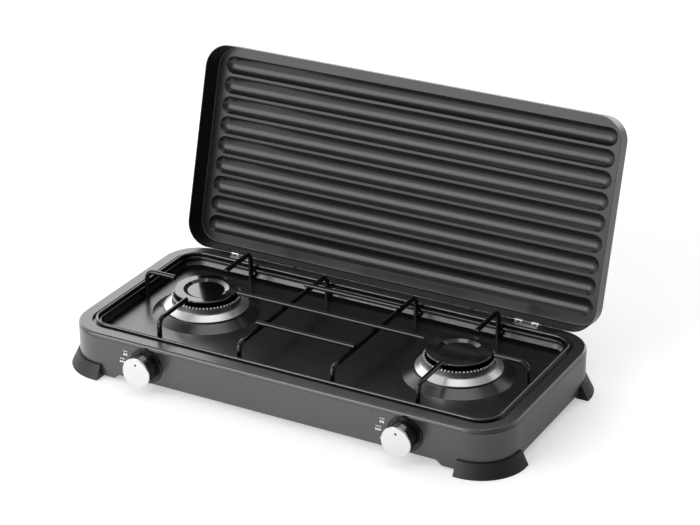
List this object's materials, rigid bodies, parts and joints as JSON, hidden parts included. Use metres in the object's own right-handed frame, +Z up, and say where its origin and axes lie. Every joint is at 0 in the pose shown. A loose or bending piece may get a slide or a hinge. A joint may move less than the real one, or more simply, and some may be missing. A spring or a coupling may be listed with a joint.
{
  "type": "gas stove",
  "caption": "Low portable gas stove with round burners, a lift-out wire pan support, push-and-turn front knobs and a fluted lid that swings up at the back.",
  "frame": {"origin": "on the floor plane, midway between the four feet and below the middle of the body", "axes": "+X to the right as seen by the cook, +Y to the back, +Z up"},
  "size_m": [0.581, 0.3702, 0.3017],
  "materials": {
    "body_paint": "semi-gloss dark grey paint",
    "lid_paint": "semi-gloss dark grey paint",
    "foot_plastic": "matt black plastic",
    "tray_enamel": "gloss black enamel",
    "wire_enamel": "gloss black enamel",
    "zinc_steel": "zinc plated",
    "hinge_steel": "black zinc plated",
    "brass": "machined",
    "bright_aluminium": "polished",
    "cast_aluminium": "cast, darkened",
    "cap_enamel": "gloss black enamel",
    "knob_plastic": "satin black",
    "knob_chrome": "satin bright",
    "rubber": "matt black"
  },
  "bodies": {
    "chassis": {"body_shell": "body_paint", "foot_front_left": "foot_plastic", "foot_front_right": "foot_plastic", "foot_rear_left": "foot_plastic", "foot_rear_right": "foot_plastic", "burner_tray": "tray_enamel", "chassis_screws": "zinc_steel", "gas_rail": "zinc_steel", "rail_brackets": "zinc_steel", "rail_clamps": "zinc_steel", "mixing_tube_left": "zinc_steel", "mixing_tube_right": "zinc_steel", "mixing_cup_left": "zinc_steel", "mixing_cup_right": "zinc_steel", "valve_spring_left": "zinc_steel", "valve_spring_right": "zinc_steel", "hinge_pin_left": "zinc_steel", "hinge_pin_right": "zinc_steel", "body_leaf_left": "hinge_steel", "body_leaf_right": "hinge_steel", "body_rivets": "hinge_steel", "inlet_nozzle": "brass", "valve_body_left": "brass", "valve_body_right": "brass", "injector_left": "brass", "injector_right": "brass", "burner_skirt_left": "bright_aluminium", "burner_skirt_right": "bright_aluminium", "burner_head_left": "cast_aluminium", "burner_head_right": "cast_aluminium", "knob_collar_left": "knob_plastic", "knob_collar_right": "knob_plastic"},
    "lid": {"lid_panel": "lid_paint", "lid_leaf_left": "hinge_steel", "lid_leaf_right": "hinge_steel", "lid_rivets": "hinge_steel", "lid_stops": "rubber"},
    "pan_support": {"grate_loop": "wire_enamel", "grate_bar_left": "wire_enamel", "grate_bar_right": "wire_enamel", "grate_rods": "wire_enamel", "grate_fingers_left": "wire_enamel", "grate_fingers_right": "wire_enamel"},
    "cap_left": {"burner_cap_left": "cap_enamel"},
    "cap_right": {"burner_cap_right": "cap_enamel"},
    "push_left": {"spring_washer_left": "zinc_steel"},
    "turn_left": {"valve_stem_left": "brass", "knob_left": "knob_plastic", "knob_face_left": "knob_chrome"},
    "push_right": {"spring_washer_right": "zinc_steel"},
    "turn_right": {"valve_stem_right": "brass", "knob_right": "knob_plastic", "knob_face_right": "knob_chrome"}
  },
  "joints": [
    {"name": "lid_hinge", "type": "hinge", "parent": "chassis", "child": "lid", "pos_m": [0, 0.1265, 0.05745], "axis": [-1, 0, 0], "range_deg": [-105.2, 0]},
    {"name": "pan_support_lift", "type": "slide", "parent": "chassis", "child": "pan_support", "axis": [0, 0, 1], "range_m": [0, 0.06]},
    {"name": "cap_lift_left", "type": "slide", "parent": "chassis", "child": "cap_left", "axis": [0, 0, 1], "range_m": [0, 0.03]},
    {"name": "cap_lift_right", "type": "slide", "parent": "chassis", "child": "cap_right", "axis": [0, 0, 1], "range_m": [0, 0.03]},
    {"name": "knob_push_left", "type": "slide", "parent": "chassis", "child": "push_left", "axis": [0, 1, 0], "range_m": [0, 0.003], "stiffness_N_per_m": 1500, "springref_m": -0.002, "deforming": ["valve_spring_left"]},
    {"name": "knob_turn_left", "type": "hinge", "parent": "push_left", "child": "turn_left", "pos_m": [-0.1663, -0.132, 0.0304], "axis": [0, -1, 0], "range_deg": [0, 120]},
    {"name": "knob_push_right", "type": "slide", "parent": "chassis", "child": "push_right", "axis": [0, 1, 0], "range_m": [0, 0.003], "stiffness_N_per_m": 1500, "springref_m": -0.002, "deforming": ["valve_spring_right"]},
    {"name": "knob_turn_right", "type": "hinge", "parent": "push_right", "child": "turn_right", "pos_m": [0.1663, -0.132, 0.0304], "axis": [0, -1, 0], "range_deg": [0, 120]}
  ]
}
